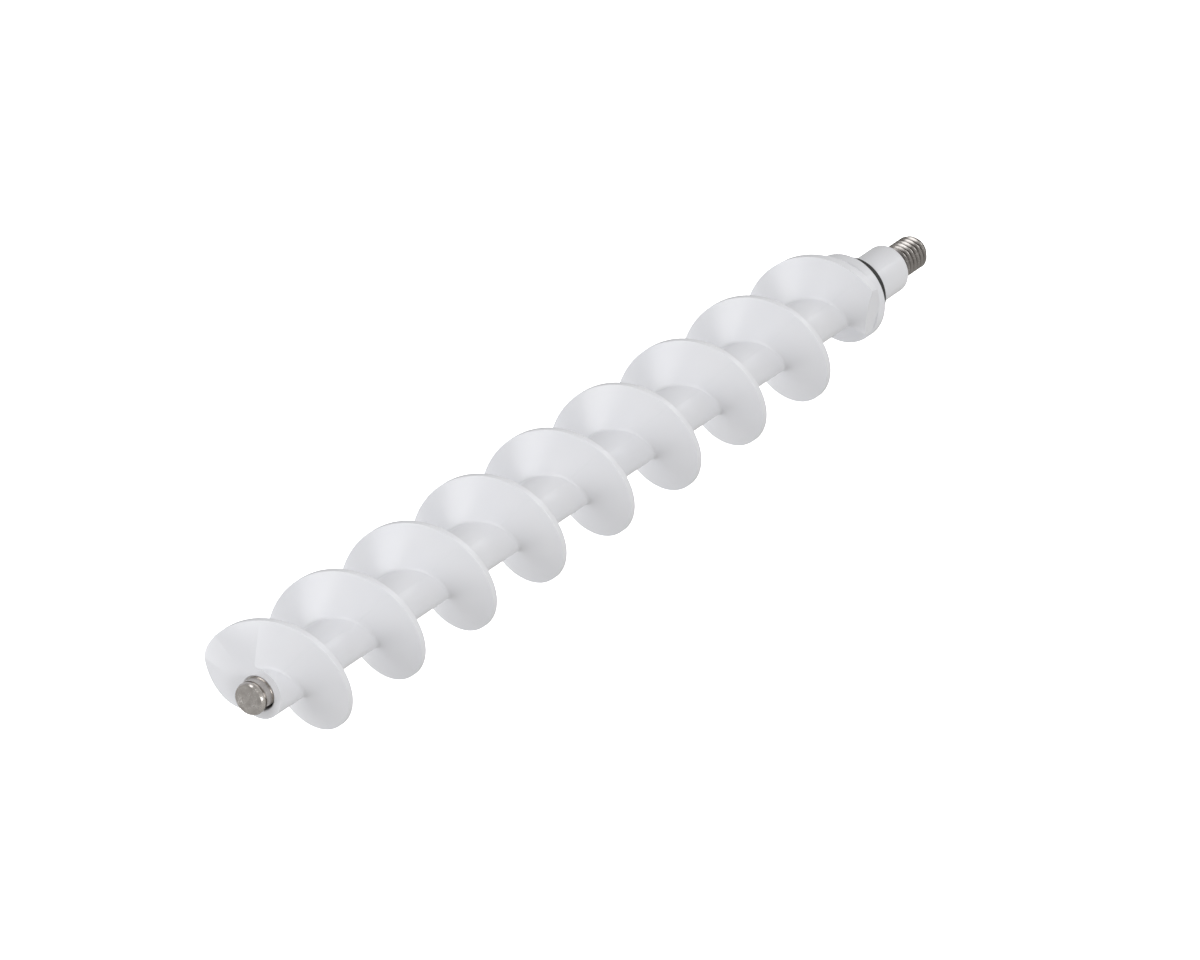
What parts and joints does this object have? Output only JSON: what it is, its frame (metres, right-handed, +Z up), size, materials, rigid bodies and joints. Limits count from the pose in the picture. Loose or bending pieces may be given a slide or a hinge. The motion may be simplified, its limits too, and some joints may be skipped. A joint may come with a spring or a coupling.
{
  "type": "slush machine auger",
  "caption": "White moulded auger for a slush machine, with a tapered helical flight on a core tube, a flanged hub with a black seal ring and a steel shaft with a threaded stud.",
  "frame": {"origin": "centre of the hub's end face, where the threaded stud begins", "axes": "+X along the auger's axis and out of the threaded stud, +Z up as in the picture"},
  "size_m": [0.2542, 0.0294, 0.0296],
  "materials": {
    "white_plastic": "satin",
    "stainless_steel": "satin",
    "black_rubber": "matte"
  },
  "bodies": {
    "root": {"auger_screw": "white_plastic", "drive_shaft": "stainless_steel", "seal_ring": "black_rubber"}
  },
  "joints": []
}
